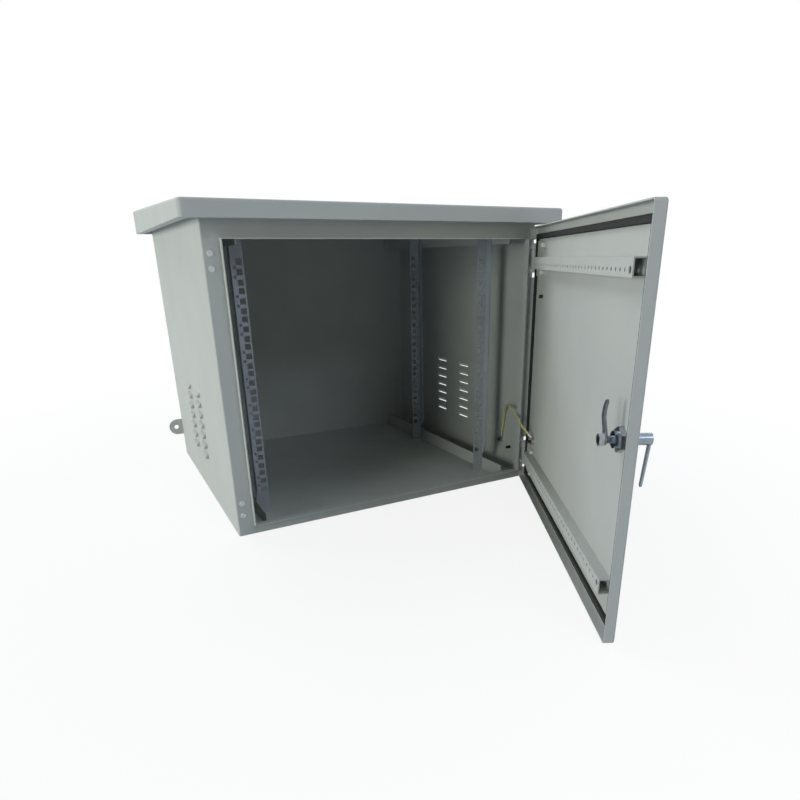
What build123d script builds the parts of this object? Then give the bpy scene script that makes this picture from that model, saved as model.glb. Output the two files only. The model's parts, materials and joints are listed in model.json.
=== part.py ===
from build123d import *
import os
from math import cos, radians, sin, tan

# Body of folded sheet steel. All lengths are in millimetres.
body_depth = 550.0
body_height = 500.0
sheet = 1.5
fold_radius = 2.5
overrun = 5.0
running_gap = 0.3
fit_clearance = 0.05

# Frame round the door opening: jambs, sill and header with a lip turned forward
left_jamb_width = 27.5
right_jamb_width = 21.5
sill_height = 18.5
header_height = 33.0
lip_depth = 11.0

# Louvres pressed outward in both side panels
louvre_length = 42.0
louvre_rise = 9.0
louvre_reach = 6.0
louvre_nose = 2.5
louvre_pitch = 20.0
louvre_rows = 7
louvre_column_pitch = 97.0
louvre_columns = 2
louvre_first_height = 79.0
louvre_middle_depth = 283.0

# Sloping rain roof on two bearers
roof_side_overhang = 31.5
roof_front_overhang = 40.0
roof_rear_overhang = 2.5
roof_front_height = 24.5
roof_rear_height = 45.5
roof_drop = 7.0
roof_lip = 14.0
roof_corner_radius = 7.0
roof_fold_radius = 5.0
bearer_side_gap = 18.0
bearer_flange = 22.0
front_bearer_depth = 90.0
rear_bearer_inset = 80.0

# Nineteen-inch rack posts and the rails that carry them
rack_unit = 44.45
rack_units = 9
rack_hole_shares = (1 / 7, 1 / 2, 6 / 7)
rack_hole = 9.5
rack_hole_inset = 7.55
rack_opening = 450.0
rack_base_height = 42.2
side_hole_shares = (1 / 3, 2 / 3)
side_hole_radius = 2.4
side_hole_offset = 8.0
post_face = 23.3
post_lip = 13.0
post_lip_height = 34.0
post_lip_slant = 23.0
post_ear = 28.0
post_sheet = 2.0
post_side_gap = 51.7
front_post_depth = 76.0
rear_post_inset = 196.0
rail_flange = 25.0
rail_front_depth = 10.0
rail_rear_gap = 10.0
lower_rail_height = 26.0
upper_rail_height = 39.5

# Bolts and nuts
bolt_radius = 3.0
bolt_head_flats = 10.0
bolt_head_height = 4.0
nut_height = 5.0
hole_clearance = 0.3
dome_share = 0.6

# Blanking plugs in the left jamb
plug_radius = 4.7
plug_head = 1.8
plug_stem_radius = 3.4
plug_stem = 5.0
plug_inset = 10.8
plug_pair_spacing = 21.2
plug_low_inset = 47.5
plug_high_inset = 62.5

# Door tray, hung on the right and drawn shut before it is swung open
door_free_inset = 4.0
door_bottom_gap = 1.0
door_top_gap = 13.0
door_depth = 13.5
door_gap = 4.0
door_corner_radius = 4.0
door_open_angle = 62.0
gasket_width = 9.0
gasket_thickness = 4.6
gasket_lap = 1.0

# Perforated channels across the inside of the door
channel_height = 20.0
channel_depth = 15.0
channel_free_inset = 30.0
channel_hinge_inset = 54.0
channel_end_inset = 61.0
channel_hole_radius = 2.2
channel_hole_pitch = 15.0
channel_hole_offset = 2.5
channel_end_hole_radius = 4.0
channel_end_hole_inset = 8.0

# Hinges: a leaf on the jamb, a forked leaf on the door and a loose pin
hinge_side_inset = 7.5
hinge_standoff = 11.5
hinge_end_inset = 54.0
knuckle_radius = 4.2
knuckle_height = 24.0
pin_radius = 2.0
pin_head_radius = 3.4
pin_head_height = 2.0
leaf_sheet = 2.0
leaf_half_height = 30.0
frame_leaf_width = 12.0
frame_bolt_offset = 4.5
hinge_bolt_spacing = 44.0
hinge_cap_radius = 4.2
frame_cap_height = 2.6
door_cap_height = 6.0
door_leaf_reach = 42.5
door_fork_reach = 76.0
door_fork_width = 9.5
door_bolt_offset = 69.5
notch_margin = 3.0

# Quarter-turn lock with its handle outside and its cam inside
lock_free_inset = 44.0
lock_barrel_radius = 10.0
lock_barrel_inner = 12.0
rosette_radius = 15.0
rosette_height = 4.0
lock_nut_flats = 27.0
lock_nut_height = 7.0
spindle_radius = 4.5
hub_radius = 7.0
hub_length = 26.0
lever_length = 58.0
lever_top_width = 7.0
lever_tip_width = 5.2
lever_thickness = 2.4
lever_tilt = 4.5
cam_standoff = 20.0
cam_sheet = 2.6
cam_length = 46.0
cam_width = 12.5
cam_tip_width = 7.0
cam_crank = 3.0
cam_crank_shares = ((0, -0.25), (0, 0.2), (0.45, 0.36), (1, 0.58), (0.85, 0.8), (0.2, 1))
cam_nut_flats = 13.0
cam_nut_height = 6.0

# Earthing studs, lugs and the wire between the body and the door
stud_radius = 3.0
stud_length = 9.0
wall_stud_depth = 75.5
wall_stud_height = 62.0
spare_stud_depth = 45.5
spare_stud_height = 52.0
door_stud_inset = 78.0
door_stud_rise = 99.0
door_spare_drop = 117.0
door_stud_length = 14.0
door_spare_length = 6.0
lug_radius = 6.5
lug_sheet = 1.5
lug_barrel_radius = 3.4
lug_barrel_length = 11.0
wall_lug_angle = 11.0
door_lug_angle = 37.0
door_lug_lift = 29.0
wire_radius = 2.25
wire_end_run = 26.0

# Wall fixings at the back
ear_sheet = 2.5
ear_width = 36.0
ear_reach = 30.0
ear_overlap = 60.0
ear_height = 66.0
ear_hole_out = 14.0
wall_hole_radius = 5.0

# Places that follow from the sizes above. The origin is the middle of the body's underside.
post_outer_x = rack_opening / 2 + post_face
side_x = post_outer_x + post_side_gap
rack_hole_x = rack_opening / 2 + rack_hole_inset
bearer_length = 2 * (post_outer_x - bearer_side_gap)
rear_post_depth = body_depth - rear_post_inset
rear_bearer_depth = body_depth - rear_bearer_inset
front_y = -body_depth / 2
back_y = body_depth / 2
left_edge = left_jamb_width - side_x
right_edge = side_x - right_jamb_width
opening_top = body_height - header_height
door_outer_y = front_y - door_gap - door_depth
door_inner_y = door_outer_y + sheet
door_rim_y = front_y - door_gap
door_free_x = door_free_inset - side_x
door_top = body_height - door_top_gap
door_middle = (door_bottom_gap + door_top) / 2
hinge_x = side_x - hinge_side_inset
hinge_y = front_y - hinge_standoff
hinge_heights = (door_top - hinge_end_inset, door_bottom_gap + hinge_end_inset)
lock_x = door_free_x + lock_free_inset
lock_z = door_middle
roof_front = front_y - roof_front_overhang
roof_rear = back_y + roof_rear_overhang
roof_side = side_x + roof_side_overhang
roof_bottom = body_height - roof_drop
roof_slope = (roof_rear_height - roof_front_height) / (roof_rear - roof_front)
post_depths = {"front": front_post_depth, "rear": rear_post_depth}
rail_bolt_heights = (sheet + lower_rail_height / 2, body_height - sheet - upper_rail_height / 2)
bolt_hole_radius = bolt_radius + hole_clearance

# Middle of the earth wire's route, chosen by hand, with depths from the front plane
wire_route = [
    (292.0, 61.0, 134.0),
    (285.0, 39.0, 148.0),
    (274.5, 12.0, 143.0),
    (268.0, -16.0, 133.0),
]
bend_share = 0.45


# Straight block between two limits on each axis
def block(xs, ys, zs):
    size = (xs[1] - xs[0], ys[1] - ys[0], zs[1] - zs[0])
    middle = ((xs[0] + xs[1]) / 2, (ys[0] + ys[1]) / 2, (zs[0] + zs[1]) / 2)
    return Pos(*middle) * Box(*size)


# Flat outline on a plane drawn out along the plane's normal
def prism(plane, points, length):
    return extrude(plane * make_face(Polyline(*points, close=True)), length)


# Round bar from a point along a direction
def rod(start, direction, radius, length):
    return extrude(Plane(start, z_dir=direction) * Circle(radius), length)


# Hexagonal bar from a point along a direction
def hexagon(start, direction, flats, length):
    side_radius = flats / 2 / cos(radians(180 / 6))
    return extrude(Plane(start, z_dir=direction) * RegularPolygon(side_radius, 6), length)


# Domed cap standing on a point, with its rim rounded
def dome(start, direction, radius, height):
    cap = rod(start, direction, radius, height)
    top = Vector(start) + Vector(direction) * height
    rim = cap.edges().filter_by(GeomType.CIRCLE).sort_by_distance(top)[0]
    return fillet(rim, dome_share * min(height, radius))


# The upright edge nearest to a point, rounded
def round_upright(shape, x, y, radius):
    edge = shape.edges().filter_by(Axis.Z).sort_by_distance((x, y, body_height / 2))[0]
    return fillet(edge, radius)


# The door's pieces are drawn shut and turned about the hinge axis
def swung(shape):
    return shape.rotate(Axis((hinge_x, hinge_y, 0), (0, 0, 1)), door_open_angle)


def mirrored(shape):
    return mirror(shape, about=Plane.YZ)


# Left edges of the louvres' columns and undersides of their hoods
def louvre_places():
    span = (louvre_columns - 1) * louvre_column_pitch
    first = front_y + louvre_middle_depth - span / 2 - louvre_length / 2
    for column in range(louvre_columns):
        for row in range(louvre_rows):
            yield first + column * louvre_column_pitch, louvre_first_height + row * louvre_pitch


# One louvre: an outward hood with closed cheeks, open at its foot, and the hollow behind it
def louvre(y, z):
    section = Plane((0, y, 0), x_dir=(1, 0, 0), z_dir=(0, 1, 0))
    nose = side_x + louvre_reach
    hood = [(side_x, -z), (nose, -z), (nose, -z - louvre_nose), (side_x, -z - louvre_rise)]
    inner = nose - sheet
    wall = side_x - sheet - overrun
    top = z + louvre_rise - sheet
    hollow = [
        (wall, -z),
        (side_x, -z),
        (side_x, -z + overrun),
        (inner, -z + overrun),
        (inner, -z - louvre_nose + sheet / 2),
        (side_x, -top),
        (wall, -top),
    ]
    shell = prism(section, hood, louvre_length)
    cut = Pos(0, sheet, 0) * prism(section, hollow, louvre_length - 2 * sheet)
    return shell, cut


# Side wall, jamb and lip folded from one sheet, drawn on the right
def side_panel(jamb_width):
    edge = side_x - jamb_width
    panel = block((side_x - sheet, side_x), (front_y, back_y), (0, body_height))
    panel += block((edge, side_x), (front_y, front_y + sheet), (0, body_height))
    lip_span = (sill_height - sheet, opening_top + sheet)
    panel += block((edge, edge + sheet), (front_y - lip_depth, front_y), lip_span)
    panel = round_upright(panel, side_x, front_y, fold_radius)
    panel = round_upright(panel, side_x - sheet, front_y + sheet, fold_radius - sheet)
    pairs = [louvre(y, z) for y, z in louvre_places()]
    panel += [shell for shell, _ in pairs]
    return panel - [cut for _, cut in pairs]


# Middles of the left jamb's plugs
def plug_places():
    for middle in (plug_low_inset, body_height - plug_high_inset):
        for side in (-1, 1):
            yield plug_inset - side_x, middle + side * plug_pair_spacing / 2


def left_side_panel():
    panel = mirrored(side_panel(left_jamb_width))
    holes = [
        rod((x, front_y - overrun, z), (0, 1, 0), plug_stem_radius + hole_clearance, 2 * overrun)
        for x, z in plug_places()
    ]
    return panel - holes


def right_side_panel():
    holes = [
        rod((x, front_y - overrun, z), (0, 1, 0), bolt_hole_radius, 2 * overrun)
        for x, z in frame_bolt_places()
    ]
    return side_panel(right_jamb_width) - holes


def frame_hole_plugs():
    plugs = []
    for x, z in plug_places():
        head = dome((x, front_y, z), (0, -1, 0), plug_radius, plug_head)
        plugs.append(head + rod((x, front_y, z), (0, 1, 0), plug_stem_radius, plug_stem))
    return plugs


# Floor turned up into the sill, with the sill's lip turned forward
def floor_panel():
    inside = side_x - sheet
    panel = block((-inside, inside), (front_y + fold_radius, back_y - sheet), (0, sheet))
    panel += block((left_edge, right_edge), (front_y, front_y + fold_radius), (0, sheet))
    panel += block((left_edge, right_edge), (front_y, front_y + sheet), (0, sill_height))
    lip = block((left_edge, right_edge), (front_y - lip_depth, front_y), (sill_height - sheet, sill_height))
    return panel + lip


# Top turned down into the header, with the header's lip turned forward
def top_panel():
    inside = side_x - sheet
    top_z = (body_height - sheet, body_height)
    panel = block((-inside, inside), (front_y + fold_radius, back_y - sheet), top_z)
    panel += block((left_edge, right_edge), (front_y, front_y + fold_radius), top_z)
    panel += block((left_edge, right_edge), (front_y, front_y + sheet), (opening_top, body_height))
    lip_z = (opening_top, opening_top + sheet)
    panel += block((left_edge, right_edge), (front_y - lip_depth, front_y), lip_z)
    holes = [
        rod((x, y, body_height - 2 * overrun), (0, 0, 1), bolt_hole_radius, 4 * overrun)
        for x, y in roof_bolt_places()
    ]
    return panel - holes


def back_panel():
    inside = side_x - sheet
    return block((-inside, inside), (back_y - sheet, back_y), (0, body_height))


# Height of the roof's upper face over a depth
def roof_top(y):
    return roof_bottom + roof_front_height + roof_slope * (y - roof_front)


# Height of the roof's inner face over a depth
def roof_under(y):
    return roof_top(y) - sheet


# Roof's solid form with rounded folds, its walls moved in by the inset
def roof_form(inset):
    side = roof_side - inset
    near = roof_front + inset
    far = roof_rear - inset
    base = roof_bottom + inset
    profile = Plane((-side, 0, 0), x_dir=(0, 1, 0), z_dir=(1, 0, 0))
    outline = [
        (near, base),
        (far, base),
        (far, roof_top(far) - inset),
        (near, roof_top(near) - inset),
    ]
    form = prism(profile, outline, 2 * side)
    for x in (-side, side):
        for y in (near, far):
            edge = form.edges().filter_by(Axis.Z).sort_by_distance((x, y, base))[0]
            form = fillet(edge, roof_corner_radius - inset)
    crest = form.faces().sort_by(Axis.Z)[-1]
    return fillet(crest.edges(), roof_fold_radius - inset)


# Folded roof: sloping top, four fascias and a lip turned in under the front and the sides
def rain_roof():
    mouth_x = roof_side - roof_lip
    mouth_y = (roof_front + roof_lip, roof_rear - sheet)
    mouth_z = (roof_bottom - overrun, roof_bottom + 2 * sheet)
    mouth = block((-mouth_x, mouth_x), mouth_y, mouth_z)
    return roof_form(0) - roof_form(sheet) - mouth


# Z-section across the top that holds the roof up, its upper flange on the slope
def roof_bearer(depth):
    foot = front_y + depth
    back = foot + sheet
    toe = back + bearer_flange
    outline = [
        (foot - bearer_flange, body_height),
        (back, body_height),
        (back, roof_under(back) - sheet),
        (toe, roof_under(toe) - sheet),
        (toe, roof_under(toe)),
        (foot, roof_under(foot)),
        (foot, body_height + sheet),
        (foot - bearer_flange, body_height + sheet),
    ]
    plane = Plane((-bearer_length / 2, 0, 0), x_dir=(0, 1, 0), z_dir=(1, 0, 0))
    bearer = prism(plane, outline, bearer_length)
    holes = [
        rod((x, y, body_height - overrun), (0, 0, 1), bolt_hole_radius, 2 * overrun)
        for x, y in roof_bolt_places()
    ]
    return bearer - holes


def roof_bolt_places():
    reach = bearer_length / 2 - bearer_flange
    for depth in (front_bearer_depth, rear_bearer_depth):
        for x in (-reach, reach):
            yield x, front_y + depth - bearer_flange / 2


# Bolt through a stack of sheets: its head on the start, its shank along the direction
def bolt(start, direction, grip):
    back = Vector(direction) * -1
    head = hexagon(start, back, bolt_head_flats, bolt_head_height)
    return head + rod(start, direction, bolt_radius, grip + nut_height)


# Nut on the far side of the same stack
def nut(start, direction, grip):
    seat = Vector(start) + Vector(direction) * grip
    bore = rod(seat, direction, bolt_radius + fit_clearance, nut_height)
    return hexagon(seat, direction, bolt_head_flats, nut_height) - bore


def roof_fixings(make):
    return [make((x, y, body_height - sheet), (0, 0, 1), 2 * sheet) for x, y in roof_bolt_places()]


# Slanting cut that frees the lower end of the post's lip
def lip_cut(face_y):
    plane = Plane((post_outer_x - overrun, 0, 0), x_dir=(0, 1, 0), z_dir=(1, 0, 0))
    toe = face_y - post_lip - overrun
    rise = post_lip_slant * (post_lip + overrun) / post_lip
    outline = [
        (face_y, sheet),
        (face_y, post_lip_height),
        (toe, post_lip_height + rise),
        (toe, sheet),
    ]
    return prism(plane, outline, 2 * overrun)


# Rack post on the right: a face of square holes, a lip turned forward, ears turned back at both ends
def post(depth):
    face_y = front_y + depth
    inner_x = rack_opening / 2
    fold_x = (post_outer_x - post_sheet, post_outer_x)
    span = (sheet, body_height - sheet)
    shape = block((inner_x, post_outer_x), (face_y, face_y + post_sheet), span)
    shape += block(fold_x, (face_y - post_lip, face_y), span)
    for ear_z in rail_spans():
        shape += block(fold_x, (face_y, face_y + post_ear), ear_z)
    cuts = [lip_cut(face_y)]
    for unit in range(rack_units):
        base = rack_base_height + unit * rack_unit
        for share in rack_hole_shares:
            square = Box(rack_hole, 4 * post_sheet, rack_hole)
            cuts.append(Pos(rack_hole_x, face_y, base + share * rack_unit) * square)
        for share in side_hole_shares:
            start = (rack_hole_x + side_hole_offset, face_y - post_sheet, base + share * rack_unit)
            cuts.append(rod(start, (0, 1, 0), side_hole_radius, 3 * post_sheet))
    ear_y = face_y + post_ear / 2
    for z in rail_bolt_heights:
        cuts.append(rod((fold_x[0] - post_sheet, ear_y, z), (1, 0, 0), bolt_hole_radius, 3 * post_sheet))
    return shape - cuts


# Heights that the lower and the upper rail take up
def rail_spans():
    low = (sheet, sheet + lower_rail_height)
    high = (body_height - sheet - upper_rail_height, body_height - sheet)
    return low, high


# Angle rail from front to back on the right, on the floor or under the top
def rail(upper):
    inner = (post_outer_x, post_outer_x + sheet)
    depth = (front_y + rail_front_depth, back_y - sheet - rail_rear_gap)
    low, high = rail_spans()
    span = high if upper else low
    seat = (span[1] - sheet, span[1]) if upper else (span[0], span[0] + sheet)
    shape = block(inner, depth, span)
    shape += block((post_outer_x, post_outer_x + rail_flange), depth, seat)
    start_x = post_outer_x - overrun
    holes = [
        rod((start_x, front_y + d + post_ear / 2, z), (1, 0, 0), bolt_hole_radius, 2 * overrun)
        for d in post_depths.values()
        for z in rail_bolt_heights
    ]
    return shape - holes


# Bolts or nuts that hold the posts to the rails on both sides
def post_fixings(make):
    right = [
        make((post_outer_x - post_sheet, front_y + d + post_ear / 2, z), (1, 0, 0), post_sheet + sheet)
        for d in post_depths.values()
        for z in rail_bolt_heights
    ]
    return right + [mirrored(piece) for piece in right]


# Ear welded to the back, its round end standing out past the side
def wall_ear():
    tip = side_x + ear_reach
    middle = tip - ear_width / 2
    low = ear_height - ear_width / 2
    high = ear_height + ear_width / 2
    ear = block((side_x - ear_overlap, middle), (back_y, back_y + ear_sheet), (low, high))
    ear += rod((middle, back_y, ear_height), (0, 1, 0), ear_width / 2, ear_sheet)
    hole_start = (side_x + ear_hole_out, back_y - overrun, ear_height)
    return ear - rod(hole_start, (0, 1, 0), wall_hole_radius, 3 * overrun)


def frame_bolt_places():
    for middle in hinge_heights:
        for side in (-1, 1):
            yield hinge_x - frame_bolt_offset, middle + side * hinge_bolt_spacing / 2


def pin_bore(middle):
    reach = 2 * leaf_half_height
    return rod((hinge_x, hinge_y, middle - reach), (0, 0, 1), pin_radius + fit_clearance, 2 * reach)


# Leaf on the jamb: a plate, an arm forward and the middle knuckle
def frame_hinge_leaf(middle):
    half = knuckle_height / 2
    plate_x = (hinge_x - frame_leaf_width, hinge_x)
    plate_y = (front_y - leaf_sheet, front_y)
    leaf = block(plate_x, plate_y, (middle - leaf_half_height, middle + leaf_half_height))
    arm_x = (hinge_x - knuckle_radius, hinge_x - knuckle_radius + leaf_sheet)
    leaf += block(arm_x, (hinge_y, front_y), (middle - half, middle + half))
    leaf += rod((hinge_x, hinge_y, middle - half), (0, 0, 1), knuckle_radius, knuckle_height)
    holes = [
        rod((x, front_y - overrun, z), (0, 1, 0), bolt_hole_radius, 2 * overrun)
        for x, z in frame_bolt_places()
    ]
    return leaf - pin_bore(middle) - holes


def hinge_pin(middle):
    reach = knuckle_height / 2 + running_gap + knuckle_height / 2
    pin = rod((hinge_x, hinge_y, middle - reach), (0, 0, 1), pin_radius, 2 * reach + running_gap)
    seat = (hinge_x, hinge_y, middle + reach + running_gap)
    return pin + dome(seat, (0, 0, 1), pin_head_radius, pin_head_height)


# Capped bolts through the frame leaf and the jamb
def frame_hinge_bolts():
    bolts = []
    for x, z in frame_bolt_places():
        seat = (x, front_y - leaf_sheet, z)
        cap = dome(seat, (0, -1, 0), hinge_cap_radius, frame_cap_height)
        bolts.append(cap + rod(seat, (0, 1, 0), bolt_radius, leaf_sheet + sheet + nut_height))
    return bolts


def frame_hinge_nuts():
    seats = [(x, front_y - leaf_sheet, z) for x, z in frame_bolt_places()]
    return [nut(seat, (0, 1, 0), leaf_sheet + sheet) for seat in seats]


# Forked leaf on the door with the outer knuckles, clear of the middle one
def door_hinge_leaf(middle):
    half = knuckle_height / 2
    skin = (door_inner_y, door_inner_y + leaf_sheet)
    end = hinge_x - knuckle_radius - 2 * running_gap
    span = (middle - leaf_half_height, middle + leaf_half_height)
    leaf = block((hinge_x - door_leaf_reach, end), skin, span)
    for side in (-1, 1):
        near = middle + side * (half + running_gap)
        far = middle + side * (half + running_gap + half)
        knuckle_z = (min(near, far), max(near, far))
        leaf += block((end, hinge_x), skin, knuckle_z)
        leaf += rod((hinge_x, hinge_y, knuckle_z[0]), (0, 0, 1), knuckle_radius, half)
        fork = middle + side * hinge_bolt_spacing / 2
        fork_z = (fork - door_fork_width / 2, fork + door_fork_width / 2)
        leaf += block((hinge_x - door_fork_reach, end), skin, fork_z)
    start_y = door_inner_y - overrun
    stud_holes = [
        rod((hinge_x - door_bolt_offset, start_y, z), (0, 1, 0), bolt_hole_radius, 3 * overrun)
        for z in door_bolt_heights()
    ]
    return leaf - pin_bore(middle) - stud_holes


def door_bolt_heights():
    return [middle + side * hinge_bolt_spacing / 2 for middle in hinge_heights for side in (-1, 1)]


# Capped studs that hold the door leaves
def door_hinge_bolts():
    bolts = []
    for z in door_bolt_heights():
        x = hinge_x - door_bolt_offset
        cap = dome((x, door_inner_y + leaf_sheet, z), (0, 1, 0), hinge_cap_radius, door_cap_height)
        bolts.append(cap + rod((x, door_inner_y, z), (0, 1, 0), bolt_radius, leaf_sheet))
    return bolts


# Door skin with its rim folded back all round, notched for the hinges and bored for the lock
def door_panel():
    span_x = (door_free_x, side_x)
    span_z = (door_bottom_gap, door_top)
    tray = block(span_x, (door_outer_y, door_rim_y), span_z)
    tray = fillet(tray.edges().filter_by(Axis.Y), door_corner_radius)
    tray = fillet(tray.faces().sort_by(Axis.Y)[0].edges(), fold_radius)
    inside_x = (door_free_x + sheet, side_x - sheet)
    inside_z = (door_bottom_gap + sheet, door_top - sheet)
    hollow = block(inside_x, (door_inner_y, door_rim_y + overrun), inside_z)
    tray -= fillet(hollow.edges().filter_by(Axis.Y), door_corner_radius - sheet)
    notch = leaf_half_height + notch_margin
    for middle in hinge_heights:
        cut_x = (side_x - 2 * sheet, side_x + overrun)
        tray -= block(cut_x, (door_inner_y, door_rim_y + overrun), (middle - notch, middle + notch))
    lock_start = (lock_x, door_outer_y - overrun, lock_z)
    return tray - rod(lock_start, (0, 1, 0), lock_barrel_radius + hole_clearance, 3 * overrun)


# Foam strip on the skin opposite the opening's lip, laid over the hinge leaves
def door_gasket():
    xs = (left_edge + gasket_lap - gasket_width, right_edge - gasket_lap + gasket_width)
    zs = (sill_height + gasket_lap - gasket_width, opening_top - gasket_lap + gasket_width)
    depth = (door_inner_y, door_inner_y + gasket_thickness)
    ring = block(xs, depth, zs)
    inner_x = (xs[0] + gasket_width, xs[1] - gasket_width)
    inner_z = (zs[0] + gasket_width, zs[1] - gasket_width)
    ring -= block(inner_x, (depth[0] - overrun, depth[1] + overrun), inner_z)
    for middle in hinge_heights:
        ring -= door_hinge_leaf(middle)
        reach = knuckle_height + 2 * pin_head_height
        room_x = (hinge_x - knuckle_radius - running_gap, hinge_x)
        room_y = (depth[0] - overrun, depth[1] + overrun)
        ring -= block(room_x, room_y, (middle - reach, middle + reach))
    return ring


# Open-ended channel with a row of holes, on the door's inner face
def door_channel(height, side):
    xs = (door_free_x + channel_free_inset, side_x - channel_hinge_inset)
    ys = (door_inner_y, door_inner_y + channel_depth)
    low = height - channel_height / 2
    high = height + channel_height / 2
    shape = block(xs, ys, (low, high))
    shape -= block(
        (xs[0] - overrun, xs[1] + overrun), (ys[0] - overrun, ys[1] - sheet), (low + sheet, high - sheet)
    )
    row_z = height - side * channel_hole_offset
    first = xs[0] + channel_end_hole_inset
    count = int((xs[1] - first) / channel_hole_pitch)
    holes = [rod((first, ys[0], row_z), (0, 1, 0), channel_end_hole_radius, 2 * channel_depth)]
    for step in range(1, count):
        place = (first + step * channel_hole_pitch, ys[0], row_z)
        holes.append(rod(place, (0, 1, 0), channel_hole_radius, 2 * channel_depth))
    return shape - holes


# Threaded barrel of the lock with the rosette that bears on the door's outer face
def lock_body():
    base = (lock_x, door_outer_y - rosette_height, lock_z)
    length = rosette_height + sheet + lock_barrel_inner
    rosette = rod(base, (0, 1, 0), rosette_radius, rosette_height)
    edge = rosette.edges().sort_by(Axis.Y)[0]
    body = fillet(edge, rosette_height / 2) + rod(base, (0, 1, 0), lock_barrel_radius, length)
    bore_start = (lock_x, base[1] - overrun, lock_z)
    return body - rod(bore_start, (0, 1, 0), spindle_radius + fit_clearance, length + 2 * overrun)


def lock_nut():
    seat = (lock_x, door_inner_y, lock_z)
    bore = rod(seat, (0, 1, 0), lock_barrel_radius + fit_clearance, lock_nut_height)
    return hexagon(seat, (0, 1, 0), lock_nut_flats, lock_nut_height) - bore


# Hub, hanging lever and the spindle that passes through the barrel to the cam
def lock_handle():
    seat_y = door_outer_y - rosette_height - running_gap
    end_y = seat_y - hub_length
    cam_y = door_inner_y + cam_standoff
    handle = rod((lock_x, seat_y, lock_z), (0, -1, 0), hub_radius, hub_length)
    spindle_length = cam_y + cam_sheet + cam_nut_height - seat_y
    handle += rod((lock_x, seat_y, lock_z), (0, 1, 0), spindle_radius, spindle_length)
    top = lever_top_width / 2
    tip = lever_tip_width / 2
    low = lock_z - lever_length + tip
    front = Plane((lock_x, end_y, lock_z), x_dir=(1, 0, 0), z_dir=(0, -1, 0))
    outline = [(-top, 0), (top, 0), (tip, low - lock_z), (-tip, low - lock_z)]
    lever = make_face(Polyline(*outline, close=True)) + Circle(top) + Pos(0, low - lock_z) * Circle(tip)
    blade = extrude(front * lever, -lever_thickness)
    blade = fillet(blade.faces().sort_by(Axis.Y)[0].edges(), lever_thickness / 4)
    tilt = Axis((lock_x, end_y, lock_z), (1, 0, 0))
    return handle + blade.rotate(tilt, lever_tilt)


# Cranked cam: its side view follows a gentle double bend, its front view tapers to a round tip
def lock_cam():
    back = door_inner_y + cam_standoff
    side_view = Plane((lock_x - cam_width, 0, lock_z), x_dir=(0, 1, 0), z_dir=(1, 0, 0))
    inner = [(back + depth * cam_crank, rise * cam_length) for depth, rise in cam_crank_shares]
    outer = [(y + cam_sheet, z) for y, z in reversed(inner)]
    plate = prism(side_view, inner + outer, 2 * cam_width)
    front_view = Plane((lock_x, back - overrun, lock_z), x_dir=(1, 0, 0), z_dir=(0, 1, 0))
    root = cam_width / 2
    tip = cam_tip_width / 2
    outline = [(-root, 0), (root, 0), (tip, tip - cam_length), (-tip, tip - cam_length)]
    flat = make_face(Polyline(*outline, close=True)) + Circle(root) + Pos(0, tip - cam_length) * Circle(tip)
    shape = plate & extrude(front_view * flat, 4 * overrun)
    bore_start = (lock_x, back - overrun, lock_z)
    return shape - rod(bore_start, (0, 1, 0), spindle_radius + fit_clearance, 4 * overrun)


def cam_nut():
    seat = (lock_x, door_inner_y + cam_standoff + cam_sheet, lock_z)
    bore = rod(seat, (0, 1, 0), spindle_radius + fit_clearance, cam_nut_height)
    return hexagon(seat, (0, 1, 0), cam_nut_flats, cam_nut_height) - bore


# Welded studs on the inside of the right wall
def wall_earth_studs():
    start_x = side_x - sheet
    places = ((wall_stud_depth, wall_stud_height), (spare_stud_depth, spare_stud_height))
    return [rod((start_x, front_y + d, z), (-1, 0, 0), stud_radius, stud_length) for d, z in places]


# Ring lug on a stud: a ring, a strap along the face and a barrel that may lift off it
def earth_lug(place, normal, along, lift):
    hole = rod(place, normal, stud_radius + fit_clearance, lug_sheet)
    strap_length = lug_radius + lug_barrel_radius
    strap_plane = Plane(place, x_dir=along, z_dir=normal)
    outline = Pos(strap_length / 2, 0) * Rectangle(strap_length, 2 * lug_barrel_radius)
    strap = extrude(strap_plane * outline, lug_sheet)
    root = barrel_root(place, normal, along)
    barrel = rod(root, barrel_direction(normal, along, lift), lug_barrel_radius, lug_barrel_length)
    return rod(place, normal, lug_radius, lug_sheet) + strap + barrel - hole


def barrel_root(place, normal, along):
    rise = Vector(normal) * (lug_barrel_radius + running_gap)
    return Vector(place) + rise + Vector(along) * (lug_radius + lug_sheet)


def barrel_direction(normal, along, lift):
    return Vector(along) * cos(radians(lift)) + Vector(normal) * sin(radians(lift))


def wall_lug_frame():
    place = (side_x - sheet, front_y + wall_stud_depth, wall_stud_height)
    along = (0, -sin(radians(wall_lug_angle)), cos(radians(wall_lug_angle)))
    return place, (-1, 0, 0), along


def wall_earth_lug():
    return earth_lug(*wall_lug_frame(), 0)


def wall_earth_nut():
    seat = (side_x - sheet - lug_sheet, front_y + wall_stud_depth, wall_stud_height)
    bore = rod(seat, (-1, 0, 0), stud_radius + fit_clearance, nut_height)
    return hexagon(seat, (-1, 0, 0), bolt_head_flats, nut_height) - bore


def door_stud_places():
    x = side_x - door_stud_inset
    return [(x, door_inner_y, z) for z in (door_bottom_gap + door_stud_rise, door_top - door_spare_drop)]


def door_earth_studs():
    lengths = (door_stud_length, door_spare_length)
    return [rod(place, (0, 1, 0), stud_radius, length) for place, length in zip(door_stud_places(), lengths)]


def door_lug_frame():
    along = (cos(radians(door_lug_angle)), 0, sin(radians(door_lug_angle)))
    return door_stud_places()[0], (0, 1, 0), along


def door_earth_lug():
    return earth_lug(*door_lug_frame(), door_lug_lift)


def door_earth_nut():
    place = Vector(door_stud_places()[0]) + Vector(0, lug_sheet, 0)
    bore = rod(place, (0, 1, 0), stud_radius + fit_clearance, nut_height)
    return hexagon(place, (0, 1, 0), bolt_head_flats, nut_height) - bore


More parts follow.
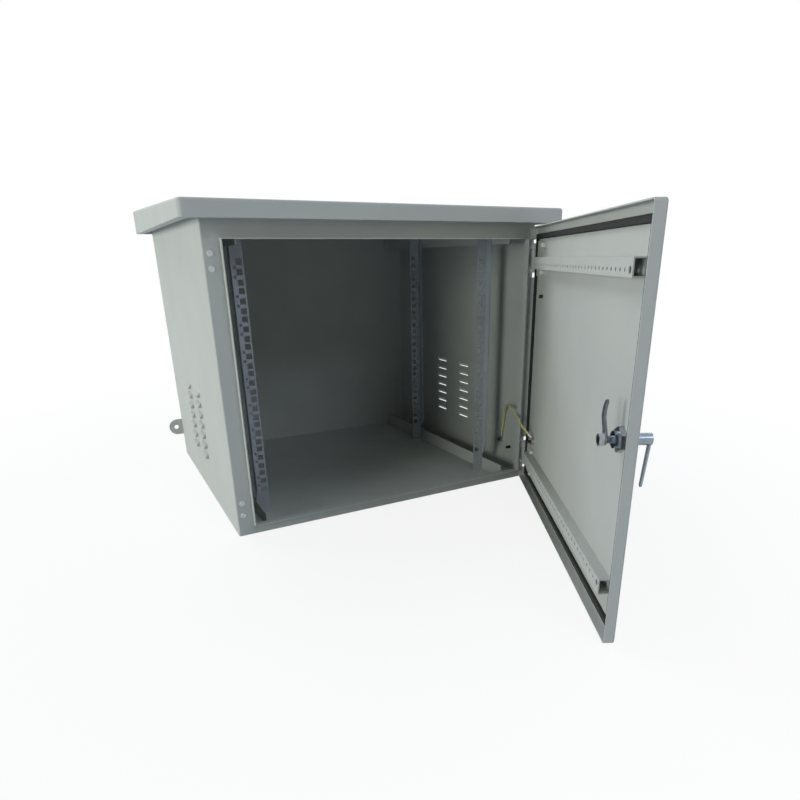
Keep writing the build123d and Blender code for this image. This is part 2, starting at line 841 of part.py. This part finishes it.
# Mouth of a lug's barrel and the point that the wire runs straight out to
def wire_start(frame, lift):
    place, normal, along = frame
    direction = barrel_direction(normal, along, lift)
    mouth = barrel_root(place, normal, along) + direction * lug_barrel_length
    return [mouth, mouth + direction * wire_end_run]


# Soft wire from lug to lug, each bend as large as its runs allow
def earth_wire():
    start = wire_start(wall_lug_frame(), 0)
    middle = [Vector(x, front_y + depth, z) for x, depth, z in wire_route]
    shut = wire_start(door_lug_frame(), door_lug_lift)
    end = [swung(Vertex(*point)).center() for point in reversed(shut)]
    points = start + middle + end
    print("wire route", [[round(c, 1) for c in point] for point in points])
    runs = [(b - a) for a, b in zip(points, points[1:])]
    radii = []
    for before, after in zip(runs, runs[1:]):
        half_turn = radians(before.get_angle(after)) / 2
        radii.append(bend_share * min(before.length, after.length) / tan(half_turn))
    print("wire bend radii", [round(radius, 1) for radius in radii])
    path = FilletPolyline(*points, radius=radii)
    wire = sweep(Plane(points[0], z_dir=runs[0]) * Circle(wire_radius), path=path)
    print("wire length", round(path.length, 1))
    return wire


def body_nodes():
    nodes = {
        "left_side_panel": left_side_panel(),
        "right_side_panel": right_side_panel(),
        "floor_panel": floor_panel(),
        "top_panel": top_panel(),
        "back_panel": back_panel(),
        "rain_roof": rain_roof(),
        "front_roof_bearer": roof_bearer(front_bearer_depth),
        "rear_roof_bearer": roof_bearer(rear_bearer_depth),
        "roof_bolts": roof_fixings(bolt),
        "roof_nuts": roof_fixings(nut),
        "post_bolts": post_fixings(bolt),
        "post_nuts": post_fixings(nut),
        "frame_hole_plugs": frame_hole_plugs(),
        "frame_hinge_bolts": frame_hinge_bolts(),
        "frame_hinge_nuts": frame_hinge_nuts(),
        "wall_earth_studs": wall_earth_studs(),
        "wall_earth_lug": wall_earth_lug(),
        "wall_earth_nut": wall_earth_nut(),
        "earth_wire": earth_wire(),
        "right_wall_ear": wall_ear(),
        "left_wall_ear": mirrored(wall_ear()),
    }
    for place, depth in post_depths.items():
        nodes[place + "_right_post"] = post(depth)
        nodes[place + "_left_post"] = mirrored(post(depth))
    for place, upper in (("upper", True), ("lower", False)):
        nodes[place + "_right_rail"] = rail(upper)
        nodes[place + "_left_rail"] = mirrored(rail(upper))
    for place, middle in zip(("upper", "lower"), hinge_heights):
        nodes[place + "_frame_hinge_leaf"] = frame_hinge_leaf(middle)
        nodes[place + "_hinge_pin"] = hinge_pin(middle)
    return nodes


def door_nodes():
    nodes = {
        "door_panel": door_panel(),
        "door_gasket": door_gasket(),
        "upper_door_channel": door_channel(door_top - channel_end_inset, 1),
        "lower_door_channel": door_channel(door_bottom_gap + channel_end_inset, -1),
        "door_hinge_bolts": door_hinge_bolts(),
        "door_earth_studs": door_earth_studs(),
        "door_earth_lug": door_earth_lug(),
        "door_earth_nut": door_earth_nut(),
        "lock_body": lock_body(),
        "lock_nut": lock_nut(),
        "lock_handle": lock_handle(),
        "lock_cam": lock_cam(),
        "cam_nut": cam_nut(),
    }
    for place, middle in zip(("upper", "lower"), hinge_heights):
        nodes[place + "_door_hinge_leaf"] = door_hinge_leaf(middle)
    return nodes


# A group of like pieces becomes one file of separate solids
def as_shape(piece):
    return Compound(children=[p for p in piece]) if isinstance(piece, list) else piece


os.makedirs("parts", exist_ok=True)
for name, piece in body_nodes().items():
    export_step(as_shape(piece), f"parts/{name}.step")
for name, piece in door_nodes().items():
    export_step(swung(as_shape(piece)), f"parts/{name}.step")
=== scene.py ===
import json
import math

import bpy
from mathutils import Matrix, Vector


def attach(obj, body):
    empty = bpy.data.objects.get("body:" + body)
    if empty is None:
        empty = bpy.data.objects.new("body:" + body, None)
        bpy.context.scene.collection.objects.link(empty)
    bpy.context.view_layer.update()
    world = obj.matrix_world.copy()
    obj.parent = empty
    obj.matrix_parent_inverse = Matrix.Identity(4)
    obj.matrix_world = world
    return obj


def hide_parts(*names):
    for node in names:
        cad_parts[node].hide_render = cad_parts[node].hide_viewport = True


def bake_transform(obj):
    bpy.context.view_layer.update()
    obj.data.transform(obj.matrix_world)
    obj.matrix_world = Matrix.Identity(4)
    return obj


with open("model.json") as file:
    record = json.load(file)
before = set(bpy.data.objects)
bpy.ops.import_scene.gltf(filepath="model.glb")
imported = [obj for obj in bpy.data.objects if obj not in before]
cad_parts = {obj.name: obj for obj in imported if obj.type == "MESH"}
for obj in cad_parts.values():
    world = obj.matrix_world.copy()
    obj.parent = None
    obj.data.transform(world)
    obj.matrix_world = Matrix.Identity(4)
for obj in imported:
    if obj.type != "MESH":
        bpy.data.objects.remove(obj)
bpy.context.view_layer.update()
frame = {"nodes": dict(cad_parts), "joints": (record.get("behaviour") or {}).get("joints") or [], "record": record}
nodes = frame["nodes"]
bpy.ops.object.select_all(action="DESELECT")
print("frame loaded with", len(nodes), "nodes")


# sRGB hex to the linear colour that sockets take
def hexColour(code):
    parts = [int(code[i:i + 2], 16) / 255 for i in (1, 3, 5)]
    linear = [p / 12.92 if p <= 0.04045 else ((p + 0.055) / 1.055) ** 2.4 for p in parts]
    return (*linear, 1.0)


# one node with its settings, its values and links, and the stops of a colour ramp
def addNode(tree, kind, sockets=None, stops=None, **settings):
    node = tree.nodes.new(kind)
    for name, value in settings.items():
        setattr(node, name, value)
    for name, value in (sockets or {}).items():
        if isinstance(value, bpy.types.NodeSocket):
            tree.links.new(value, node.inputs[name])
        else:
            node.inputs[name].default_value = value
    if stops:
        for element, (position, code) in zip(node.color_ramp.elements, stops):
            element.position = position
            element.color = hexColour(code)
    return node


# empty material and the object's own coordinates
def newMaterial(name):
    material = bpy.data.materials.new(name)
    material.use_nodes = True
    tree = material.node_tree
    tree.nodes.clear()
    place = addNode(tree, "ShaderNodeTexCoord").outputs["Object"]
    return material, tree, place


# patterns are counted per metre, their sizes are given in millimetres
def perMetre(sizeMm):
    return 1000.0 / sizeMm


# the photograph's camera, fitted to points of the cabinet
photoCamera = {
    "focalPx": 597.9,
    "centrePx": (416.8, 487.3),
    "framePx": 800,
    "sensorMm": 36.0,
    "nearClip": 0.01,
    "place": (-0.4707, -1.2274, 0.4381),
    "yawDeg": 28.33,
    "pitchDeg": 21.02,
    "rollDeg": -0.86,
}


def makeCamera(view):
    yaw, pitch, roll = (math.radians(view[k]) for k in ("yawDeg", "pitchDeg", "rollDeg"))
    ahead = Vector((
        math.sin(yaw) * math.cos(pitch),
        math.cos(yaw) * math.cos(pitch),
        -math.sin(pitch),
    ))
    right = Vector((math.cos(yaw), -math.sin(yaw), 0))
    up = right.cross(ahead)
    turnedRight = right * math.cos(roll) + up * math.sin(roll)
    turnedUp = up * math.cos(roll) - right * math.sin(roll)
    bpy.ops.object.camera_add(location=view["place"])
    camera = bpy.context.object
    camera.name = "photoCamera"
    camera.rotation_euler = Matrix((turnedRight, turnedUp, -ahead)).transposed().to_euler()
    camera.data.sensor_width = view["sensorMm"]
    camera.data.lens = view["focalPx"] / view["framePx"] * view["sensorMm"]
    camera.data.shift_x = (view["framePx"] / 2 - view["centrePx"][0]) / view["framePx"]
    camera.data.shift_y = (view["centrePx"][1] - view["framePx"] / 2) / view["framePx"]
    camera.data.clip_start = view["nearClip"]
    bpy.context.scene.camera = camera


makeCamera(photoCamera)
bpy.context.scene.view_settings.view_transform = "Standard"
print("camera placed")

middle = (0.0, -0.15, 0.25)  # between the body and the open door
studio = {
    "floorSize": 30.0,
    "floorColour": "#F7F7F6",
    "floorBounce": "#CCD3DA",
    "floorGlow": 0.86,
    "fadeFrom": 0.55,
    "fadeOver": 0.9,
    "worldColour": "#C2D8E6",
    "worldStrength": 0.06,
    "surround": "#FFFFFF",
    "surroundStrength": 1.0,
    "lamps": [
        # name, place, aimed at, size, watts, colour
        ("keyLamp", (-0.88, 1.37, 3.28), middle, 1.7, 60.0, "#EEF4FF"),
        ("topLamp", (0.0, -1.35, 3.54), middle, 1.2, 16.0, "#EAF2FF"),
        ("leftLamp", (-3.46, 0.15, 0.68), middle, 1.0, 38.0, "#FFFFF8"),
        ("windowLamp", (-3.15, -1.62, 0.68), middle, 1.0, 28.0, "#FCFFF6"),
        ("frontLamp", (0.51, -3.04, 2.16), middle, 1.0, 16.0, "#E2EAFF"),
        ("fillLamp", (2.14, -2.70, 1.33), middle, 1.4, 12.0, "#FFFBF6"),
        ("rightLamp", (3.0, 0.3, 1.4), (0.2, -0.2, 0.25), 1.6, 48.0, "#F4F7FF"),
        ("backLamp", (0.3, 3.0, 1.6), (0.0, 0.1, 0.25), 1.8, 22.0, "#FFFFFF"),
    ],
}


# rays that see the white surroundings: the camera's own, and those in metal and gloss
def seenRay(tree):
    path = addNode(tree, "ShaderNodeLightPath")
    mirror = addNode(
        tree,
        "ShaderNodeMath",
        {0: path.outputs["Is Glossy Ray"], 1: path.outputs["Is Transmission Ray"]},
        operation="MAXIMUM",
    )
    seen = addNode(
        tree,
        "ShaderNodeMath",
        {0: path.outputs["Is Camera Ray"], 1: mirror.outputs[0]},
        operation="MAXIMUM",
    )
    return seen.outputs[0]


# a faint sky for the shading, plain white where it is seen
def makeWorld(settings):
    world = bpy.data.worlds.new("softStudio")
    bpy.context.scene.world = world
    world.use_nodes = True
    tree = world.node_tree
    tree.nodes.clear()
    ambient = addNode(
        tree,
        "ShaderNodeBackground",
        {"Color": hexColour(settings["worldColour"]), "Strength": settings["worldStrength"]},
    )
    white = addNode(
        tree,
        "ShaderNodeBackground",
        {"Color": hexColour(settings["surround"]), "Strength": settings["surroundStrength"]},
    )
    mix = addNode(
        tree,
        "ShaderNodeMixShader",
        {0: seenRay(tree), 1: ambient.outputs[0], 2: white.outputs[0]},
    )
    addNode(tree, "ShaderNodeOutputWorld", {"Surface": mix.outputs[0]})


# matt floor: shaded near the object, plain white further off, greyer in what it throws back
def makeFloor(settings):
    bpy.ops.mesh.primitive_plane_add(size=settings["floorSize"])
    floor = bpy.context.object
    floor.name = "studioFloor"
    material, tree, place = newMaterial("matt studio floor")
    reach = addNode(tree, "ShaderNodeVectorMath", {0: place}, operation="LENGTH")
    far = addNode(
        tree,
        "ShaderNodeMapRange",
        {
            "Value": reach.outputs["Value"],
            "From Min": settings["fadeFrom"],
            "From Max": settings["fadeFrom"] + settings["fadeOver"],
            "To Min": settings["floorGlow"],
        },
        interpolation_type="SMOOTHSTEP",
    )
    shaded = addNode(tree, "ShaderNodeBsdfDiffuse", {"Color": hexColour(settings["floorColour"])})
    white = addNode(
        tree,
        "ShaderNodeEmission",
        {"Color": hexColour(settings["surround"]), "Strength": settings["surroundStrength"]},
    )
    pale = addNode(
        tree,
        "ShaderNodeMixShader",
        {0: far.outputs["Result"], 1: shaded.outputs[0], 2: white.outputs[0]},
    )
    dull = addNode(tree, "ShaderNodeBsdfDiffuse", {"Color": hexColour(settings["floorBounce"])})
    mix = addNode(
        tree,
        "ShaderNodeMixShader",
        {0: seenRay(tree), 1: dull.outputs[0], 2: pale.outputs[0]},
    )
    addNode(tree, "ShaderNodeOutputMaterial", {"Surface": mix.outputs[0]})
    floor.data.materials.append(material)


def makeLamps(settings):
    for name, place, aim, size, watts, colour in settings["lamps"]:
        bpy.ops.object.light_add(type="AREA", location=place)
        lamp = bpy.context.object
        lamp.name = name
        lamp.rotation_euler = (Vector(aim) - Vector(place)).to_track_quat("-Z", "Y").to_euler()
        lamp.data.size = size
        lamp.data.energy = watts
        lamp.data.color = hexColour(colour)[:3]


makeWorld(studio)
makeFloor(studio)
makeLamps(studio)
print("studio lit")

# powder coat: baked polyester, an even matt skin with a fine orange peel and a faint cloudiness
powderCoats = {
    "light grey powder coat": {"colour": "#BDC0BB", "cloud": "#B9BCB8", "roughness": 0.66},
    "mid grey powder coat": {"colour": "#A9AFB3", "cloud": "#A1A7AC", "roughness": 0.58},
}
coatSkin = {
    "cloudMm": 90.0,
    "cloudDetail": 3.0,
    "cloudSpan": (0.35, 0.65),
    "peelMm": 2.5,  # about 1 mm on the real coat, drawn larger so that it shows
    "peelDetail": 2.0,
    "peelStrength": 0.12,
    "peelDepth": 0.0004,
    "roughnessSpread": 0.03,
    "specular": 0.3,
}


def powderCoat(name, look, skin):
    material, tree, place = newMaterial(name)
    cloud = addNode(
        tree,
        "ShaderNodeTexNoise",
        {"Vector": place, "Scale": perMetre(skin["cloudMm"]), "Detail": skin["cloudDetail"]},
    )
    tone = addNode(
        tree,
        "ShaderNodeValToRGB",
        {"Fac": cloud.outputs["Fac"]},
        stops=zip(skin["cloudSpan"], (look["cloud"], look["colour"])),
    )
    peel = addNode(
        tree,
        "ShaderNodeTexNoise",
        {"Vector": place, "Scale": perMetre(skin["peelMm"]), "Detail": skin["peelDetail"]},
    )
    bump = addNode(
        tree,
        "ShaderNodeBump",
        {
            "Height": peel.outputs["Fac"],
            "Strength": skin["peelStrength"],
            "Distance": skin["peelDepth"],
        },
    )
    sheen = addNode(
        tree,
        "ShaderNodeMapRange",
        {
            "Value": cloud.outputs["Fac"],
            "To Min": look["roughness"] - skin["roughnessSpread"],
            "To Max": look["roughness"] + skin["roughnessSpread"],
        },
    )
    coat = addNode(
        tree,
        "ShaderNodeBsdfPrincipled",
        {
            "Base Color": tone.outputs["Color"],
            "Roughness": sheen.outputs["Result"],
            "Specular IOR Level": skin["specular"],
            "Normal": bump.outputs["Normal"],
        },
    )
    addNode(tree, "ShaderNodeOutputMaterial", {"Surface": coat.outputs[0]})
    return material


# plated metal: zinc and tin are dappled, the chrome is greyed and smeared, weld studs are dull brown
platings = {
    "bright zinc plate": {"colour": "#BCC0C4", "dark": "#9DA2A8", "roughness": 0.34, "grainMm": 5.0},
    "dull dark zinc plate": {"colour": "#8C9194", "dark": "#747A7E", "roughness": 0.45, "grainMm": 4.0},
    "dull chrome plate": {"colour": "#8F9BA5", "dark": "#7E8993", "roughness": 0.22, "grainMm": 9.0},
    "brown copper flash": {"colour": "#4C443C", "dark": "#352F29", "roughness": 0.5, "grainMm": 2.0},
    "tin plate": {"colour": "#C9C8C2", "dark": "#B0AFA9", "roughness": 0.38, "grainMm": 3.0},
}
platingSkin = {
    "grainDetail": 4.0,
    "grainSpan": (0.3, 0.7),
    "smoother": 0.06,
    "rougher": 0.08,
    "metallic": 1.0,
}


def plating(name, look, skin):
    material, tree, place = newMaterial(name)
    grain = addNode(
        tree,
        "ShaderNodeTexNoise",
        {"Vector": place, "Scale": perMetre(look["grainMm"]), "Detail": skin["grainDetail"]},
    )
    tone = addNode(
        tree,
        "ShaderNodeValToRGB",
        {"Fac": grain.outputs["Fac"]},
        stops=zip(skin["grainSpan"], (look["dark"], look["colour"])),
    )
    smear = addNode(
        tree,
        "ShaderNodeMapRange",
        {
            "Value": grain.outputs["Fac"],
            "To Min": look["roughness"] - skin["smoother"],
            "To Max": look["roughness"] + skin["rougher"],
        },
    )
    metal = addNode(
        tree,
        "ShaderNodeBsdfPrincipled",
        {
            "Base Color": tone.outputs["Color"],
            "Metallic": skin["metallic"],
            "Roughness": smear.outputs["Result"],
        },
    )
    addNode(tree, "ShaderNodeOutputMaterial", {"Surface": metal.outputs[0]})
    return material


# cellular rubber: matt black foam with small open cells
cellularRubber = {
    "cellMm": 1.6,  # about 0.5 mm on the real foam, drawn larger so that it shows
    "tones": ((0.0, "#08090A"), (1.0, "#151719")),
    "cellStrength": 0.35,
    "cellDepth": 0.0005,
    "roughness": 0.88,
    "ior": 1.5,
}


def foamRubber(name, look):
    material, tree, place = newMaterial(name)
    cells = addNode(tree, "ShaderNodeTexVoronoi", {"Vector": place, "Scale": perMetre(look["cellMm"])})
    tone = addNode(
        tree,
        "ShaderNodeValToRGB",
        {"Fac": cells.outputs["Distance"]},
        stops=look["tones"],
    )
    bump = addNode(
        tree,
        "ShaderNodeBump",
        {
            "Height": cells.outputs["Distance"],
            "Strength": look["cellStrength"],
            "Distance": look["cellDepth"],
        },
    )
    foam = addNode(
        tree,
        "ShaderNodeBsdfPrincipled",
        {
            "Base Color": tone.outputs["Color"],
            "Roughness": look["roughness"],
            "IOR": look["ior"],
            "Normal": bump.outputs["Normal"],
        },
    )
    addNode(tree, "ShaderNodeOutputMaterial", {"Surface": foam.outputs[0]})
    return material


# plastics: even colour, a soft gloss and a slight ripple from the mould or the extruder
plastics = {
    "white moulded polyethylene": {"colour": "#DDDFDB", "shade": "#D2D4CF", "roughness": 0.4},
    "yellow wire insulation": {"colour": "#E8DEA2", "shade": "#DDD292", "roughness": 0.42},
    "green wire stripe": {"colour": "#C2C284", "shade": "#B6B878", "roughness": 0.42},
}
plasticSkin = {
    "rippleMm": 4.0,
    "rippleDetail": 2.0,
    "rippleSpan": (0.3, 0.7),
    "rippleStrength": 0.1,
    "rippleDepth": 0.0003,
    "ior": 1.48,
}


def plastic(name, look, skin):
    material, tree, place = newMaterial(name)
    ripple = addNode(
        tree,
        "ShaderNodeTexNoise",
        {"Vector": place, "Scale": perMetre(skin["rippleMm"]), "Detail": skin["rippleDetail"]},
    )
    tone = addNode(
        tree,
        "ShaderNodeValToRGB",
        {"Fac": ripple.outputs["Fac"]},
        stops=zip(skin["rippleSpan"], (look["shade"], look["colour"])),
    )
    bump = addNode(
        tree,
        "ShaderNodeBump",
        {
            "Height": ripple.outputs["Fac"],
            "Strength": skin["rippleStrength"],
            "Distance": skin["rippleDepth"],
        },
    )
    body = addNode(
        tree,
        "ShaderNodeBsdfPrincipled",
        {
            "Base Color": tone.outputs["Color"],
            "Roughness": look["roughness"],
            "IOR": skin["ior"],
            "Normal": bump.outputs["Normal"],
        },
    )
    addNode(tree, "ShaderNodeOutputMaterial", {"Surface": body.outputs[0]})
    return material


finishes = {name: powderCoat(name, look, coatSkin) for name, look in powderCoats.items()}
finishes.update({name: plating(name, look, platingSkin) for name, look in platings.items()})
finishes.update({name: plastic(name, look, plasticSkin) for name, look in plastics.items()})
finishes["cellular rubber"] = foamRubber("cellular rubber", cellularRubber)

# the record's slots and the finish each one shows
slotFinish = {
    "grey_powder_coat": "light grey powder coat",
    "blue_grey_coat": "mid grey powder coat",
    "zinc_plate": "bright zinc plate",
    "tinned_copper": "tin plate",
    "copper_flash": "brown copper flash",
    "chrome_plate": "dull chrome plate",
    "dark_zinc": "dull dark zinc plate",
    "foam_rubber": "cellular rubber",
    "white_cap_plastic": "white moulded polyethylene",
    "wire_insulation": "yellow wire insulation",
}
for subpart in frame["record"]["subparts"]:
    piece = nodes[subpart["node"]]
    piece.data.materials.clear()
    piece.data.materials.append(finishes[slotFinish[subpart["material_slot"]]])
print("finishes on", len(nodes), "nodes")

# the earthing wire from the wall to the door, pale yellow with a pale green stripe
earthWire = {
    "route": [
        (0.2948, -0.2031, 0.0807),
        (0.2948, -0.2081, 0.1062),
        (0.2920, -0.2140, 0.1340),
        (0.2850, -0.2360, 0.1480),
        (0.2745, -0.2630, 0.1430),
        (0.2680, -0.2910, 0.1330),
        (0.2594, -0.3122, 0.1243),
        (0.2620, -0.3342, 0.1106),
    ],
    "steps": 12,
    "diameter": 0.0045,
    "length": 0.186,
    "sides": 12,
    "stripeSides": 4,
    "smoothDeg": 40.0,
}


def makeEarthWire(settings):
    curve = bpy.data.curves.new("earthWire", "CURVE")
    curve.dimensions = "3D"
    spline = curve.splines.new("NURBS")
    spline.points.add(len(settings["route"]) - 1)
    for point, place in zip(spline.points, settings["route"]):
        point.co = (*place, 1.0)
    spline.order_u = 3
    spline.use_endpoint_u = True
    spline.resolution_u = settings["steps"]
    wire = bpy.data.objects.new("earthWire", curve)
    bpy.context.collection.objects.link(wire)
    line = bpy.data.meshes.new_from_object(wire)
    bpy.data.meshes.remove(line)

    # a bevel of resolution n has 2 n + 4 sides
    curve.bevel_depth = settings["diameter"] / 2
    curve.bevel_resolution = settings["sides"] // 2 - 2
    curve.use_fill_caps = True
    bpy.context.view_layer.objects.active = wire
    wire.select_set(True)
    bpy.ops.object.convert(target="MESH")
    wire = bpy.context.object
    bpy.ops.object.shade_smooth_by_angle(angle=math.radians(settings["smoothDeg"]))
    wire.select_set(False)
    wire.data.materials.append(finishes["yellow wire insulation"])
    wire.data.materials.append(finishes["green wire stripe"])
    for face in wire.data.polygons:
        if face.index % settings["sides"] < settings["stripeSides"]:
            face.material_index = 1
    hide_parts("earth_wire")
    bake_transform(wire)


makeEarthWire(earthWire)
print("earth wire run")


# the one object that the next operators work on
def chooseOnly(piece):
    bpy.ops.object.select_all(action="DESELECT")
    piece.select_set(True)
    bpy.context.view_layer.objects.active = piece


# pieces on the door are modelled shut, then swung open about the hinge
def swingOpen(piece):
    hinge = next(joint for joint in frame["joints"] if joint["name"] == "door_hinge")
    pivot = Matrix.Translation(hinge["pos_m"])
    turn = Matrix.Rotation(math.radians(-hinge["range_deg"][0]), 4, "Z")
    piece.matrix_world = pivot @ turn @ pivot.inverted() @ piece.matrix_world
    chooseOnly(piece)
    bpy.ops.object.transform_apply(location=True, rotation=True, scale=True)
    piece.select_set(False)


# selects the edges of the mesh in edit mode whose two ends pass a test
def pickEdges(piece, test):
    bpy.ops.mesh.select_all(action="DESELECT")
    bpy.ops.mesh.select_mode(type="EDGE")
    bpy.ops.object.mode_set(mode="OBJECT")
    for edge in piece.data.edges:
        edge.select = test([piece.data.vertices[i].co for i in edge.vertices])
    bpy.ops.object.mode_set(mode="EDIT")


def applyModifier(piece, kind, **settings):
    modifier = piece.modifiers.new(kind.title(), kind)
    for name, value in settings.items():
        setattr(modifier, name, value)
    bpy.context.view_layer.objects.active = piece
    bpy.ops.object.modifier_apply(modifier=modifier.name)


# the foam strip round the door's inner face, its free corners rounded, laid over the hinge leaves
doorGasket = {
    "left": -0.2805,
    "right": 0.2865,
    "bottom": 0.0105,
    "top": 0.475,
    "base": -0.291,
    "uprightDeg": -90.0,
    "width": 0.009,
    "thickness": 0.0046,
    "rounding": 0.0024,
    "roundSteps": 4,
    "straightWithin": 0.00045,
    "leafSpan": (0.2495, 0.2879),
    "leafThickness": 0.0021,
    "leafHalf": 0.0301,
    "leafHeights": (0.055, 0.433),
    "smoothDeg": 35.0,
}


def makeDoorGasket(settings):
    across = settings["right"] - settings["left"]
    upward = settings["top"] - settings["bottom"]
    centre = (settings["left"] + across / 2, settings["base"], settings["bottom"] + upward / 2)
    upright = (math.radians(settings["uprightDeg"]), 0, 0)
    bpy.ops.object.select_all(action="DESELECT")
    bpy.ops.mesh.primitive_plane_add(size=1.0, location=centre, rotation=upright)
    gasket = bpy.context.object
    gasket.name = "doorGasket"
    gasket.scale = (across, upward, 1)
    bpy.ops.object.transform_apply(location=True, rotation=True, scale=True)
    bpy.ops.object.mode_set(mode="EDIT")
    bpy.ops.mesh.select_all(action="SELECT")
    bpy.ops.mesh.inset(thickness=settings["width"], depth=0.0)
    bpy.ops.mesh.delete(type="FACE")
    bpy.ops.object.mode_set(mode="OBJECT")
    applyModifier(gasket, "SOLIDIFY", thickness=settings["thickness"], offset=1.0)

    # the free corners run along the strip, the mitres across it
    halfway = settings["base"] + settings["thickness"] / 2

    def freeCorner(ends):
        lean = min(abs(ends[0].x - ends[1].x), abs(ends[0].z - ends[1].z))
        return min(e.y for e in ends) > halfway and lean < settings["straightWithin"]

    bpy.ops.object.mode_set(mode="EDIT")
    pickEdges(gasket, freeCorner)
    bpy.ops.mesh.bevel(
        offset=settings["rounding"],
        segments=settings["roundSteps"],
        affect="EDGES",
    )
    bpy.ops.object.mode_set(mode="OBJECT")

    # room for the hinge leaves under the strip
    near, far = settings["leafSpan"]
    for height in settings["leafHeights"]:
        place = ((near + far) / 2, settings["base"], height)
        bpy.ops.mesh.primitive_cube_add(size=1.0, location=place)
        room = bpy.context.object
        room.scale = (far - near, 2 * settings["leafThickness"], 2 * settings["leafHalf"])
        bpy.ops.object.transform_apply(location=True, rotation=True, scale=True)
        applyModifier(gasket, "BOOLEAN", object=room, operation="DIFFERENCE", solver="EXACT")
        bpy.data.objects.remove(room)
    chooseOnly(gasket)
    bpy.ops.object.shade_smooth_by_angle(angle=math.radians(settings["smoothDeg"]))
    gasket.data.materials.append(finishes["cellular rubber"])
    swingOpen(gasket)
    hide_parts("door_gasket")
    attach(gasket, "door")


makeDoorGasket(doorGasket)
print("door gasket laid")
